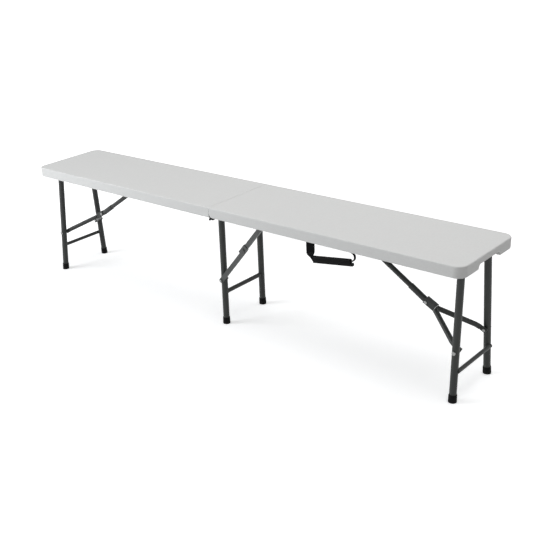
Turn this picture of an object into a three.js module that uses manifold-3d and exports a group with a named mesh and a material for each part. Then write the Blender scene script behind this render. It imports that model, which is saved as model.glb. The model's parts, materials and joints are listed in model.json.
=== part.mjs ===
// A bench that folds in half: two moulded seat halves on steel rails, three folding leg frames,
// a locking brace on each frame and a strap handle on the front edge.
// Millimetres. +X runs along the bench, +Y towards the back, +Z up. The origin is on the floor,
// under the middle of the bench.

import * as THREE from 'three';
import { mergeVertices } from 'three/addons/utils/BufferGeometryUtils.js';
import Module from 'manifold-3d';

const wasm = await Module();
wasm.setup();

// Overall sizes
const benchLength = 1830;
const benchWidth = 305;
const seatHeight = 440;

// Clearances and tools
const fitGap = 0.3;
const workingGap = 0.5;
const overrun = 5;
const tubeSides = 24;
const rivetSides = 14;
const arcSteps = 6;
const quarterTurn = Math.PI / 2;

// Seat halves
const seatDepth = 36;
const panelThickness = 10;
const apronWall = 14;
const seatCorner = 32;
const hollowCorner = 8;
const seatEdge = 4;
const seatEdgeSteps = 3;
const seamGap = 1;
const seamRoundRight = 17;
const seamRoundLeft = 4;
const notchWidth = 124;
const notchDepth = 16;
const notchRound = 10;
const notchFlare = 8;

const halfLength = benchLength / 2;
const halfWidth = benchWidth / 2;
const seatBottom = seatHeight - seatDepth;
const panelUnderside = seatHeight - panelThickness;
const apronInside = halfWidth - apronWall;

// Rails: one steel angle along each long side of each half
const railThickness = 2;
const railFlange = 24;
const railApronGap = 0.5;
const railLift = 1;
const railEndGap = 9;
const railSeamStep = 14;
const railNoseReach = 8;
const railNoseDrop = 5;

const railOutside = apronInside - railApronGap;
const railInside = railOutside - railThickness;
const railTop = panelUnderside - fitGap;
const railBottom = seatBottom + railLift;

// Centre hinge: a pin under the seam at each side, one leaf on each half
const hingeDrop = 6;
const leafThickness = 3;
const leafLength = 52;
const leafTopGap = 5;
const leafEar = 7.5;
const leafEarLeft = 7;
const leafLeftStart = 16;
const leafPadStart = 20;
const hingePinRadius = 4;
const hingeHeadRadius = 5.5;
const hingeInnerHead = 2.7;
const capRadius = 10.5;
const capInset = 0.5;
const capRise = 5;
const capSkin = 3;

const hingeZ = seatBottom - hingeDrop;
const leafRightOuter = railInside - fitGap;
const leafRightInner = leafRightOuter - leafThickness;
const leafLeftOuter = leafRightInner - fitGap;
const leafLeftInner = leafLeftOuter - leafThickness;
const capX = capInset + capRadius;
const capZ = seatBottom + capRise;
const capFace = halfWidth - capSkin;

// Leg frames
const legRadius = 11;
const legWall = 1.2;
const pivotRadius = 8;
const pivotWall = 1.5;
const pivotEndGap = 0.6;
const endPivotInset = 43;
const centrePivotX = 4;
const endLean = THREE.MathUtils.degToRad(1.8);
const endTopInset = 76.2;
const endFootInset = 46.5;
const centreTopInset = 56.1;
const centreFootInset = 53;
const stretcherRadius = 6.5;
const centreStretcherRadius = 7.5;
const stretcherOffset = 10;
const stretcherEnd = 98;
const stretcherCentre = 118;

const pivotZ = seatBottom + legRadius;
const pivotReach = apronInside - pivotEndGap;
const endPivotX = halfLength - endPivotInset;

// Feet: a moulded cap pushed on to each leg
const footRadius = 13;
const footTopRadius = 12.6;
const footHeight = 24;
const footSole = 4;
const footLip = 1.2;

// Y braces of the end frames
const stemRadius = 8;
const stemWall = 1.3;
const stemHeadRadius = 8.5;
const stemHeadHalf = 14;
const stemStart = 6;
const stemBoreStart = 9;
const stemPlug = 14;
const drainRadius = 2.5;
const drainPlace = 24;
const braceRodRadius = 5;
const braceReach = 422;
const braceSlack = 0.3;
const armDrop = 259;
const ringWall = 1.3;
const ringLength = 60;
const ringSeat = 1.5;
const ringPanelGap = 0.4;
const yokeWall = 2;
const yokePlay = 0.6;
const yokeTail = 8;
const yokeNose = 33;
const yokeSkirt = 6.5;
const armRadius = 8;
const armRootBack = 10;
const armRootHalf = 0;
const armBendBack = 23;
const armBendEase = 9;
const armEnd = 7;
const armFlat = 14;
const armLegGap = 2;
const armSeatGap = 0.6;
const armPathSteps = 14;
const jointPinRadius = 3;
const jointHeadRadius = 5.5;
const jointHead = 2.5;
const armPinRadius = 3.5;
const armHeadRadius = 6;
const armHead = 3;
const armHeadSeat = 0.7;

const ringBore = stemRadius + fitGap;
const ringOuter = ringBore + ringWall;
const braceZ = panelUnderside - ringPanelGap - ringOuter;
const yokeInside = stemRadius + yokePlay;
const yokeOutside = yokeInside + yokeWall;

// Side stay of the centre frame
const stayRise = 3;
const stayReach = 209;
const stayDrop = 248;
const stayLegGap = 0.6;
const stayLowerThickness = 6.5;
const stayLowerHalf = 8;
const stayLayerGap = 1;
const stayUpperThickness = 7.5;
const stayUpperHalf = 8;
const stayTail = 10;
const stayToe = 8;
const claspHalf = 19;
const claspWall = 2;
const claspDrop = 7;
const stayCollarRadius = 5;
const stayPostRadius = 6;
const stayInnerHead = 1;
const stayBoss = 3;

// Strap handle
const strapThickness = 2;
const strapWidth = 31;
const strapRailGap = 4;
const strapPivotRise = 0.5;
const strapX = 400;
const anchorHeight = 24;
const anchorPadRise = 8;
const gripStartX = 412;
const gripDrop = 56.5;
const gripLength = 137;
const gripTilt = THREE.MathUtils.degToRad(8.4);
const gripHeight = 18;
const gripLip = 4;
const gripLipReach = 6;
const gripThickness = 12;
const gripRound = 5;
const strapTaper = 9;
const strapFold = 10;
const loopRadius = 14;
const loopThickness = 2.5;
const loopWidth = 7;
const loopTab = 5;

const strapPlane = railInside - strapRailGap;
const strapPivotZ = hingeZ + strapPivotRise;
const gripStartZ = seatBottom - gripDrop;

// Materials
const materials = {
  plastic: new THREE.MeshStandardMaterial({ color: 0xd6d7d8, roughness: 0.55, metalness: 0 }),
  steel: new THREE.MeshStandardMaterial({ color: 0x4c504e, roughness: 0.5, metalness: 0.3 }),
  bracket: new THREE.MeshStandardMaterial({ color: 0x1d1f1f, roughness: 0.5, metalness: 0.3 }),
  rivet: new THREE.MeshStandardMaterial({ color: 0xa9adab, roughness: 0.35, metalness: 0.9 }),
  rubber: new THREE.MeshStandardMaterial({ color: 0x101213, roughness: 0.7, metalness: 0 }),
  webbing: new THREE.MeshStandardMaterial({ color: 0x141516, roughness: 0.9, metalness: 0 }),
};

// Turning three.js shapes into solids that can be joined and cut, and back again

function solid(geometry) {
  const bare = geometry.clone();
  bare.deleteAttribute('normal');
  bare.deleteAttribute('uv');
  const merged = mergeVertices(bare);
  const index = merged.index.array;
  const kept = [];
  for (let i = 0; i < index.length; i += 3) {
    const [a, b, c] = [index[i], index[i + 1], index[i + 2]];
    if (a !== b && b !== c && c !== a) kept.push(a, b, c);
  }
  return new wasm.Manifold(new wasm.Mesh({
    numProp: 3,
    vertProperties: merged.attributes.position.array,
    triVerts: new Uint32Array(kept),
  }));
}

function piece(name, body, material) {
  const mesh = body.getMesh();
  const geometry = new THREE.BufferGeometry();
  geometry.setAttribute('position', new THREE.BufferAttribute(new Float32Array(mesh.vertProperties), 3));
  geometry.setIndex(new THREE.BufferAttribute(new Uint32Array(mesh.triVerts), 1));
  geometry.computeVertexNormals();
  const part = new THREE.Mesh(geometry, material);
  part.name = name;
  return part;
}

function assembly(...parts) {
  const group = new THREE.Group();
  group.add(...parts);
  return group;
}

// Basic solids

function box(xs, ys, zs) {
  const geometry = new THREE.BoxGeometry(xs[1] - xs[0], ys[1] - ys[0], zs[1] - zs[0]);
  geometry.translate((xs[0] + xs[1]) / 2, (ys[0] + ys[1]) / 2, (zs[0] + zs[1]) / 2);
  return solid(geometry);
}

function alongLine(geometry, from, to) {
  const direction = to.clone().sub(from).normalize();
  const turn = new THREE.Quaternion().setFromUnitVectors(new THREE.Vector3(0, 1, 0), direction);
  geometry.applyQuaternion(turn);
  return geometry;
}

function rod(from, to, radius, sides = tubeSides) {
  const length = from.distanceTo(to);
  const geometry = alongLine(new THREE.CylinderGeometry(radius, radius, length, sides), from, to);
  const middle = from.clone().lerp(to, 0.5);
  geometry.translate(middle.x, middle.y, middle.z);
  return solid(geometry);
}

function pipe(from, to, radius, wall, sides = tubeSides) {
  const direction = to.clone().sub(from).normalize();
  const boreFrom = from.clone().addScaledVector(direction, -overrun);
  const boreTo = to.clone().addScaledVector(direction, overrun);
  return rod(from, to, radius, sides).subtract(rod(boreFrom, boreTo, radius - wall, sides));
}

const at = (x, y, z) => new THREE.Vector3(x, y, z);

const crossRod = (x, z, ys, radius, sides) => rod(at(x, ys[0], z), at(x, ys[1], z), radius, sides);

function prism(shape, depth, options = {}) {
  const settings = { depth, bevelEnabled: false, curveSegments: arcSteps, ...options };
  return new THREE.ExtrudeGeometry(shape, settings);
}

// A shape drawn in (y, z) and run along X, in (x, z) and run along Y, or in (x, y) and run up Z

function prismX(shape, xs) {
  const geometry = prism(shape, xs[1] - xs[0]);
  geometry.applyMatrix4(new THREE.Matrix4().makeBasis(at(0, 1, 0), at(0, 0, 1), at(1, 0, 0)));
  geometry.translate(xs[0], 0, 0);
  return solid(geometry);
}

function prismY(shape, ys) {
  const geometry = prism(shape, ys[1] - ys[0]);
  geometry.applyMatrix4(new THREE.Matrix4().makeBasis(at(1, 0, 0), at(0, 0, 1), at(0, -1, 0)));
  geometry.translate(0, ys[1], 0);
  return solid(geometry);
}

function prismZ(shape, zs) {
  const geometry = prism(shape, zs[1] - zs[0]);
  geometry.translate(0, 0, zs[0]);
  return solid(geometry);
}

function roundedRectangle(us, vs, round) {
  const shape = new THREE.Shape();
  shape.moveTo(us[0] + round, vs[0]);
  shape.lineTo(us[1] - round, vs[0]);
  shape.absarc(us[1] - round, vs[0] + round, round, -quarterTurn, 0);
  shape.lineTo(us[1], vs[1] - round);
  shape.absarc(us[1] - round, vs[1] - round, round, 0, quarterTurn);
  shape.lineTo(us[0] + round, vs[1]);
  shape.absarc(us[0] + round, vs[1] - round, round, quarterTurn, 2 * quarterTurn);
  shape.lineTo(us[0], vs[0] + round);
  shape.absarc(us[0] + round, vs[0] + round, round, 2 * quarterTurn, 3 * quarterTurn);
  return shape;
}

const mirrored = (ys, side) => (side > 0 ? ys : [-ys[1], -ys[0]]);

// The half of a seat that lies on +X

function seatOutline(start, end, half, corner) {
  const shape = new THREE.Shape();
  shape.moveTo(start, -half);
  shape.lineTo(end - corner, -half);
  shape.absarc(end - corner, -half + corner, corner, -quarterTurn, 0);
  shape.lineTo(end, half - corner);
  shape.absarc(end - corner, half - corner, corner, 0, quarterTurn);
  shape.lineTo(start, half);
  return shape;
}

function handHold() {
  const half = notchWidth / 2;
  const shape = new THREE.Shape();
  shape.moveTo(-half - notchFlare, seatBottom - overrun);
  shape.lineTo(-half - notchFlare, seatBottom);
  shape.absarc(-half - notchFlare, seatBottom + notchFlare, notchFlare, -quarterTurn, 0);
  const top = seatBottom + notchDepth;
  shape.absarc(-half + notchRound, top - notchRound, notchRound, 2 * quarterTurn, quarterTurn, true);
  shape.absarc(half - notchRound, top - notchRound, notchRound, quarterTurn, 0, true);
  shape.absarc(half + notchFlare, seatBottom + notchFlare, notchFlare, 2 * quarterTurn, 3 * quarterTurn);
  shape.lineTo(half + notchFlare, seatBottom - overrun);
  return prismX(shape, [halfLength - apronWall - overrun, halfLength + overrun]);
}

function seamRounding(round) {
  const shape = new THREE.Shape();
  const face = seamGap / 2;
  shape.moveTo(face - overrun, seatBottom - overrun);
  shape.lineTo(face + round, seatBottom - overrun);
  shape.lineTo(face + round, seatBottom);
  shape.absarc(face + round, seatBottom + round, round, 3 * quarterTurn, 2 * quarterTurn, true);
  shape.lineTo(face - overrun, seatBottom + round);
  return prismY(shape, [-halfWidth - overrun, halfWidth + overrun]);
}

function capPocket(side) {
  const depth = mirrored([apronInside - overrun, capFace], side);
  return crossRod(capX, capZ, depth, capRadius + workingGap);
}

function seatHalf(seamRound) {
  const outline = seatOutline(seamGap / 2 - seatEdge - overrun, halfLength, halfWidth, seatCorner);
  const shell = prism(outline, seatDepth - 2 * seatEdge, {
    bevelEnabled: true,
    bevelThickness: seatEdge,
    bevelSize: seatEdge,
    bevelOffset: -seatEdge,
    bevelSegments: seatEdgeSteps,
  });
  shell.translate(0, 0, seatBottom + seatEdge);
  const beyondSeam = seamGap / 2 - seatEdge - 2 * overrun;
  const hollow = seatOutline(beyondSeam, halfLength - apronWall, apronInside, hollowCorner);
  return solid(shell)
    .subtract(box([beyondSeam, seamGap / 2], [-benchWidth, benchWidth], [0, 2 * seatHeight]))
    .subtract(prismZ(hollow, [seatBottom - overrun, panelUnderside]))
    .subtract(handHold())
    .subtract(seamRounding(seamRound));
}

// Rails, drawn for one long side of one half; side is +1 at the back and -1 at the front.
// holes are [x, z, radius] of what passes through the upright flange.

function rail(side, ends, holes, noseEnd) {
  const upright = mirrored([railInside, railOutside], side);
  const flange = mirrored([railOutside - railFlange, railOutside], side);
  let body = box(ends, upright, [railBottom, railTop]);
  body = body.add(box(ends, flange, [railTop - railThickness, railTop]));
  if (noseEnd !== undefined) {
    body = body.add(box([noseEnd, ends[0] + overrun], upright, [railBottom, railTop - railNoseDrop]));
  }
  const through = mirrored([railInside - overrun, railOutside + overrun], side);
  for (const [x, z, radius] of holes) {
    body = body.subtract(crossRod(x, z, through, radius + fitGap));
  }
  return body;
}

// Hinge leaves, drawn in (x, z) and run across their thickness

function ear(shape, radius, from, to) {
  shape.absarc(0, hingeZ, radius, from, to);
  return shape;
}

function leafRight(side) {
  const top = railTop - leafTopGap;
  const shape = new THREE.Shape();
  shape.moveTo(leafLength, railBottom);
  shape.lineTo(leafLength, top);
  shape.lineTo(-railNoseReach, top);
  ear(shape, leafEar, 2 * quarterTurn, 4 * quarterTurn);
  shape.lineTo(leafEar, railBottom);
  const through = mirrored([leafRightInner - overrun, leafRightOuter + overrun], side);
  return prismY(shape, mirrored([leafRightInner, leafRightOuter], side))
    .subtract(crossRod(centrePivotX, pivotZ, through, pivotRadius + fitGap))
    .subtract(crossRod(0, hingeZ, through, hingePinRadius + fitGap));
}

function leafLeft(side) {
  const top = railTop - leafTopGap;
  const earTop = 2 * quarterTurn - Math.PI / 3;
  const shape = new THREE.Shape();
  shape.moveTo(-leafLength, top);
  shape.lineTo(-leafLength, railBottom);
  shape.lineTo(-leafLeftStart, railBottom);
  ear(shape, leafEarLeft, 2.5 * quarterTurn, 4 * quarterTurn + earTop);
  shape.lineTo(-leafLeftStart, top);
  const layer = mirrored([leafLeftInner, leafLeftOuter], side);
  const pad = mirrored([leafLeftInner, leafRightOuter], side);
  const through = mirrored([leafLeftInner - overrun, leafRightOuter + overrun], side);
  return prismY(shape, layer)
    .add(box([-leafLength, -leafPadStart], pad, [railBottom, top]))
    .subtract(crossRod(0, hingeZ, through, hingePinRadius + fitGap));
}

// The pin ends in a round cap that sits in a pocket behind the rounded corner of the right half

function hingePin(side) {
  const innerSeat = leafLeftInner - fitGap;
  const outerSeat = leafRightOuter + fitGap;
  const shank = mirrored([innerSeat - fitGap, capFace - workingGap], side);
  const innerHead = mirrored([innerSeat - hingeInnerHead, innerSeat], side);
  const outerHead = mirrored([outerSeat, railOutside], side);
  const cap = mirrored([railOutside + fitGap, capFace - workingGap], side);
  const web = new THREE.Shape();
  web.moveTo(0, hingeZ - hingePinRadius);
  web.lineTo(capX, capZ - capRadius);
  web.lineTo(capX, capZ);
  web.lineTo(0, hingeZ + hingePinRadius);
  return crossRod(0, hingeZ, shank, hingePinRadius)
    .add(crossRod(0, hingeZ, innerHead, hingeHeadRadius))
    .add(crossRod(0, hingeZ, outerHead, hingeHeadRadius))
    .add(crossRod(capX, capZ, cap, capRadius))
    .add(prismY(web, cap));
}

// Leg frames. A frame says where its legs run; lean is the outward tilt, seen from the front.

function frameAt(pivotX, lean, topHalf, footHalf) {
  const xAt = (z) => pivotX + (pivotZ - z) * Math.tan(lean);
  const halfAt = (z) => topHalf + (footHalf - topHalf) * (1 - z / pivotZ);
  return { pivotX, lean, legPoint: (side, z) => at(xAt(z), side * halfAt(z), z), xAt, halfAt };
}

const endFrame = frameAt(endPivotX, endLean, halfWidth - endTopInset, halfWidth - endFootInset);
const centreTopHalf = halfWidth - centreTopInset;
const centreFrame = frameAt(centrePivotX, 0, centreTopHalf, halfWidth - centreFootInset);

const legDirection = (frame, side) =>
  frame.legPoint(side, pivotZ).sub(frame.legPoint(side, 0)).normalize();

function pivotTube(frame) {
  const ends = [-pivotReach, pivotReach];
  return pipe(at(frame.pivotX, ends[0], pivotZ), at(frame.pivotX, ends[1], pivotZ), pivotRadius, pivotWall);
}

function leg(frame, side, pinZ, pinRadius) {
  const up = legDirection(frame, side);
  const top = frame.legPoint(side, pivotZ);
  const bottom = frame.legPoint(side, 0).addScaledVector(up, footSole + fitGap);
  const seat = crossRod(frame.pivotX, pivotZ, [-benchWidth, benchWidth], pivotRadius + fitGap);
  let body = pipe(bottom, top, legRadius, legWall).subtract(seat);
  if (pinRadius > 0) {
    const middle = side * frame.halfAt(pinZ);
    const through = [middle - legRadius - overrun, middle + legRadius + overrun];
    body = body.subtract(crossRod(frame.xAt(pinZ), pinZ, through, pinRadius + fitGap, rivetSides));
  }
  return body;
}

function stretcher(frame, height, offset, radius) {
  const x = frame.xAt(height) + offset;
  const half = frame.halfAt(height);
  let body = crossRod(x, height, [-half, half], radius);
  for (const side of [-1, 1]) {
    const low = frame.legPoint(side, height - legRadius * 2);
    const high = frame.legPoint(side, height + legRadius * 2);
    body = body.subtract(rod(low, high, legRadius + fitGap));
  }
  return body;
}

function foot(frame, side) {
  const up = legDirection(frame, side);
  const bore = legRadius + fitGap;
  const profile = [
    [0, -overrun],
    [footRadius, -overrun],
    [footRadius, footSole],
    [footTopRadius, footHeight - footLip],
    [footTopRadius - footLip / 2, footHeight],
    [bore, footHeight],
    [bore, footSole],
    [0, footSole],
  ].map(([radius, height]) => new THREE.Vector2(radius, height));
  const floorPoint = frame.legPoint(side, 0);
  const turned = new THREE.LatheGeometry(profile, tubeSides);
  const geometry = alongLine(turned, floorPoint, floorPoint.clone().add(up));
  geometry.translate(floorPoint.x, floorPoint.y, floorPoint.z);
  const below = box(
    [floorPoint.x - 2 * footRadius, floorPoint.x + 2 * footRadius],
    [floorPoint.y - 2 * footRadius, floorPoint.y + 2 * footRadius],
    [-2 * overrun, 0],
  );
  return solid(geometry).subtract(below);
}

// Two links from a fixed anchor to a pin on the legs. They lie in one line when the frame stands,
// or just past it, and the upper link lies level when it is folded. Total is the length of both,
// and along is the distance from the anchor to the folded pin, counted in the direction in which
// the folded upper link points.

function upperLink(total, along, rise) {
  return (total ** 2 - along ** 2 - rise ** 2) / (2 * (total - along));
}

const armPinZ = pivotZ - armDrop * Math.cos(endLean);
const armPinX = endPivotX + armDrop * Math.sin(endLean);
const braceX = endPivotX - braceReach;
const braceSpan = Math.hypot(armPinX - braceX, braceZ - armPinZ);
const braceAngle = Math.atan2(braceZ - armPinZ, armPinX - braceX);
const bracePair = braceSpan + braceSlack;
const stemLength = upperLink(bracePair, endPivotX - armDrop - braceX, pivotZ - braceZ);
const forkLength = bracePair - stemLength;
const stemSide = stemLength ** 2 + braceSpan ** 2 - forkLength ** 2;
const stemDip = Math.acos(stemSide / (2 * stemLength * braceSpan));
const stemAngle = braceAngle + stemDip;
const jointX = braceX + stemLength * Math.cos(stemAngle);
const jointZ = braceZ - stemLength * Math.sin(stemAngle);
const forkAngle = Math.atan2(jointZ - armPinZ, armPinX - jointX);
const braceBend = stemAngle - forkAngle;
const yokeCeiling = stemRadius / Math.cos(braceBend) + yokeTail * Math.tan(braceBend) + fitGap;

const stayZ = pivotZ + stayRise;
const stayX = centrePivotX + stayReach;
const stayPinZ = pivotZ - stayDrop;
const staySpan = Math.hypot(stayX - centrePivotX, stayZ - stayPinZ);
const stayAngle = Math.PI - Math.atan2(stayZ - stayPinZ, stayX - centrePivotX);
const stayUpperLength = upperLink(staySpan, stayX - centrePivotX - stayDrop, pivotZ - stayZ);

// Y brace pieces, drawn along +X from the rod that the stem hangs on

function stem() {
  const bore = [stemBoreStart, stemLength - stemPlug];
  return rod(at(stemStart, 0, 0), at(stemLength, 0, 0), stemRadius)
    .add(crossRod(stemLength, 0, [-stemRadius, stemRadius], stemRadius))
    .add(crossRod(0, 0, [-stemHeadHalf, stemHeadHalf], stemHeadRadius))
    .subtract(rod(at(bore[0], 0, 0), at(bore[1], 0, 0), stemRadius - stemWall))
    .subtract(rod(at(drainPlace, 0, -2 * stemRadius), at(drainPlace, 0, 0), drainRadius, rivetSides))
    .subtract(crossRod(0, 0, [-benchWidth, benchWidth], braceRodRadius + fitGap))
    .subtract(crossRod(stemLength, 0, [-benchWidth, benchWidth], jointPinRadius + fitGap, rivetSides));
}

function lockRing() {
  const end = stemLength - yokeTail - ringSeat;
  return pipe(at(end - ringLength, 0, 0), at(end, 0, 0), ringOuter, ringWall);
}

// The fork is drawn along +X from the rivet

function yoke() {
  const past = [-yokeTail - overrun, yokeNose + overrun];
  return box([-yokeTail, yokeNose], [-yokeOutside, yokeOutside], [-yokeSkirt, yokeCeiling + yokeWall])
    .subtract(box(past, [-yokeInside, yokeInside], [-yokeSkirt - overrun, yokeCeiling]))
    .subtract(crossRod(0, 0, [-benchWidth, benchWidth], jointPinRadius + fitGap, rivetSides));
}

function headedPin(x, z, shank, heads, radius, headRadius) {
  let body = crossRod(x, z, shank, radius, rivetSides);
  for (const head of heads) body = body.add(crossRod(x, z, head, headRadius, rivetSides));
  return body;
}

function jointRivet() {
  const seat = yokeOutside + fitGap;
  const heads = [[-seat - jointHead, -seat], [seat, seat + jointHead]];
  return headedPin(stemLength, 0, [-seat, seat], heads, jointPinRadius, jointHeadRadius);
}

const armHalf = endFrame.halfAt(armPinZ) - legRadius - armLegGap - armRadius;

function arm(side) {
  const root = at(yokeNose - armRootBack, armRootHalf, 0);
  const bend = at(forkLength - armBendBack, armHalf, 0);
  const end = at(forkLength + armEnd, armHalf, 0);
  const intoBend = bend.clone().sub(root).normalize();
  const easeStart = bend.clone().addScaledVector(intoBend, -armBendEase);
  const easeEnd = at(bend.x + armBendEase, armHalf, 0);
  const path = new THREE.CurvePath();
  path.add(new THREE.LineCurve3(root, easeStart));
  path.add(new THREE.QuadraticBezierCurve3(easeStart, bend, easeEnd));
  path.add(new THREE.LineCurve3(easeEnd, end));
  const section = new THREE.Shape().absarc(0, 0, armRadius, 0, 4 * quarterTurn);
  const tube = new THREE.ExtrudeGeometry(section, {
    steps: armPathSteps,
    extrudePath: path,
    curveSegments: tubeSides / 2,
  });
  const flat = [forkLength - armFlat, forkLength + armEnd + overrun];
  const yokeEnd = yokeNose + fitGap;
  const outerFace = armHalf + armRadius + armLegGap - armSeatGap;
  const boss = crossRod(forkLength, 0, [armHalf - armHead, outerFace], jointHeadRadius, rivetSides);
  const body = solid(tube)
    .subtract(box(flat, [0, armHalf], [-2 * armRadius, 2 * armRadius]))
    .subtract(box([0, yokeEnd], [-benchWidth, benchWidth], [-2 * armRadius, 2 * armRadius]))
    .subtract(box([0, forkLength], [-benchWidth, stemRadius + workingGap], [-2 * armRadius, 2 * armRadius]))
    .add(boss);
  return side > 0 ? body : body.mirror([0, 1, 0]);
}

function armRivet(side) {
  const middle = endFrame.halfAt(armPinZ);
  const innerEnd = middle - legRadius - fitGap;
  const headSeat = middle + legRadius + armHeadSeat;
  const shank = mirrored([innerEnd, headSeat], side);
  const head = mirrored([headSeat, headSeat + armHead], side);
  return headedPin(armPinX, armPinZ, shank, [head], armPinRadius, armHeadRadius);
}

// Side stay pieces, drawn along +X from the post on the rail; they lie at the front

const stayLowerInner = centreFrame.halfAt(stayPinZ) + legRadius + stayLegGap;
const stayLowerOuter = stayLowerInner + stayLowerThickness;
const stayUpperInner = stayLowerOuter + stayLayerGap;
const stayUpperOuter = stayUpperInner + stayUpperThickness;
const claspFace = stayUpperOuter + workingGap + claspWall;

function bar(xs, half, ys) {
  return prismY(roundedRectangle(xs, [-half, half], half), mirrored(ys, -1));
}

const stayHole = (x) => crossRod(x, 0, [-benchWidth, 0], jointPinRadius + fitGap, rivetSides);

function stayUpper() {
  const along = [-stayUpperHalf, stayUpperLength + stayUpperHalf];
  return bar(along, stayUpperHalf, [stayUpperInner, stayUpperOuter])
    .subtract(stayHole(0))
    .subtract(stayHole(stayUpperLength));
}

function stayLower() {
  const along = [stayUpperLength - stayTail, staySpan + stayToe];
  const boss = crossRod(staySpan, 0, mirrored([stayLowerOuter - fitGap, stayLowerOuter + stayBoss], -1),
    jointHeadRadius, rivetSides);
  return bar(along, stayLowerHalf, [stayLowerInner, stayLowerOuter])
    .subtract(stayHole(stayUpperLength))
    .add(boss);
}

// The clasp bends over both bars at their joint and leaves the side open that the upper bar
// swings out of
function stayClasp() {
  const along = [stayUpperLength - claspHalf, stayUpperLength + claspHalf];
  const web = -stayLowerHalf - fitGap;
  const cheek = mirrored([claspFace - claspWall, claspFace], -1);
  return box(along, mirrored([stayLowerInner, claspFace], -1), [web - claspWall, web])
    .add(box(along, cheek, [web - claspWall, claspDrop]))
    .subtract(stayHole(stayUpperLength));
}

function stayJointRivet() {
  const innerSeat = stayLowerInner - fitGap;
  const outerSeat = claspFace + fitGap;
  const heads = [
    mirrored([innerSeat - stayInnerHead, innerSeat], -1),
    mirrored([outerSeat, outerSeat + jointHead], -1),
  ];
  const collar = mirrored([stayLowerOuter + fitGap, stayUpperInner - fitGap], -1);
  const shank = mirrored([innerSeat, outerSeat], -1);
  return headedPin(stayUpperLength, 0, shank, heads, jointPinRadius, jointHeadRadius)
    .add(crossRod(stayUpperLength, 0, collar, stayCollarRadius, rivetSides));
}

function stayPost() {
  const collar = mirrored([stayUpperOuter + fitGap, railInside - fitGap], -1);
  return crossRod(stayX, stayZ, mirrored([stayUpperInner, pivotReach], -1), jointPinRadius, rivetSides)
    .add(crossRod(stayX, stayZ, collar, stayPostRadius, rivetSides));
}

function stayLegRivet() {
  const middle = centreFrame.halfAt(stayPinZ);
  const innerSeat = middle - legRadius - fitGap;
  const shank = mirrored([innerSeat, stayLowerInner - fitGap], -1);
  const head = mirrored([innerSeat - armHead, innerSeat], -1);
  return headedPin(centrePivotX, stayPinZ, shank, [head], armPinRadius, armHeadRadius);
}

// Strap handle on the front rail

const gripEndX = gripStartX + gripLength * Math.cos(gripTilt);
const gripEndZ = gripStartZ + gripLength * Math.sin(gripTilt);

function grip() {
  const section = roundedRectangle(
    [-gripThickness / 2, gripThickness / 2],
    [-gripHeight / 2, gripHeight / 2],
    gripRound,
  );
  const base = [-gripHeight / 2 - gripLip, -gripHeight / 2 + gripRound];
  const lip = roundedRectangle([-gripThickness / 2, gripThickness / 2], base, gripLip / 2);
  return prismX(section, [0, gripLength]).add(prismX(lip, [0, gripLength + gripLipReach]));
}

// A strap end that turns about the handle's axis is round there
function strapEye(x, width, radius) {
  const end = (side) => at(x + side * width / 2, -strapPlane, strapPivotZ);
  return rod(end(-1), end(1), radius);
}

function strapLeft() {
  const left = strapX - strapWidth / 2;
  const right = strapX + strapWidth / 2;
  const endTop = gripStartZ + gripHeight / 2;
  const endBottom = gripStartZ - gripHeight / 2 - gripLip;
  const gripFace = gripStartX - gripHeight / 2 * Math.sin(gripTilt) - fitGap;
  const shape = new THREE.Shape();
  shape.moveTo(left, strapPivotZ);
  shape.lineTo(left, gripStartZ + strapFold);
  shape.lineTo(gripFace - strapTaper, gripStartZ);
  shape.lineTo(gripFace, endBottom);
  shape.lineTo(gripFace, endTop + strapThickness);
  shape.lineTo(right, endTop + strapTaper);
  shape.lineTo(right, strapPivotZ);
  return prismY(shape, [-strapPlane - strapThickness / 2, -strapPlane + strapThickness / 2])
    .add(strapEye(strapX, strapWidth, strapThickness / 2));
}

function strapRight() {
  const outer = loopRadius + loopThickness / 2;
  const inner = loopRadius - loopThickness / 2;
  const centreZ = gripEndZ + loopThickness + loopRadius;
  const topZ = centreZ + loopRadius;
  const tabX = gripEndX - loopThickness;
  const shape = new THREE.Shape();
  shape.moveTo(gripEndX, centreZ - outer);
  shape.absarc(gripEndX, centreZ, outer, -quarterTurn, quarterTurn);
  shape.lineTo(tabX, centreZ + outer);
  shape.lineTo(tabX, centreZ + inner);
  shape.absarc(gripEndX, centreZ, inner, quarterTurn, -quarterTurn, true);
  const across = [-strapPlane - loopWidth / 2, -strapPlane + loopWidth / 2];
  const gripFace = gripEndX + gripHeight / 2 * Math.sin(gripTilt) + fitGap;
  return prismY(shape, across)
    .add(box([tabX, tabX + loopThickness], across, [topZ, strapPivotZ]))
    .add(strapEye(tabX + loopThickness / 2, loopThickness, loopTab))
    .subtract(box([tabX, gripFace], [-benchWidth, 0], [0, centreZ - inner + fitGap]));
}

function strapAnchor(x, width, thickness, eyeRadius) {
  const ends = [x - width / 2, x + width / 2];
  const bottom = strapPivotZ + eyeRadius + fitGap;
  const top = strapPivotZ + anchorHeight;
  const front = [-strapPlane - thickness / 2, -strapPlane + thickness / 2];
  return box(ends, front, [bottom, top])
    .add(box(ends, [-railInside + fitGap, front[1]], [railBottom + anchorPadRise, top]));
}

// The frame of one end, with the names of its two sides as they lie on the finished bench

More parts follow.
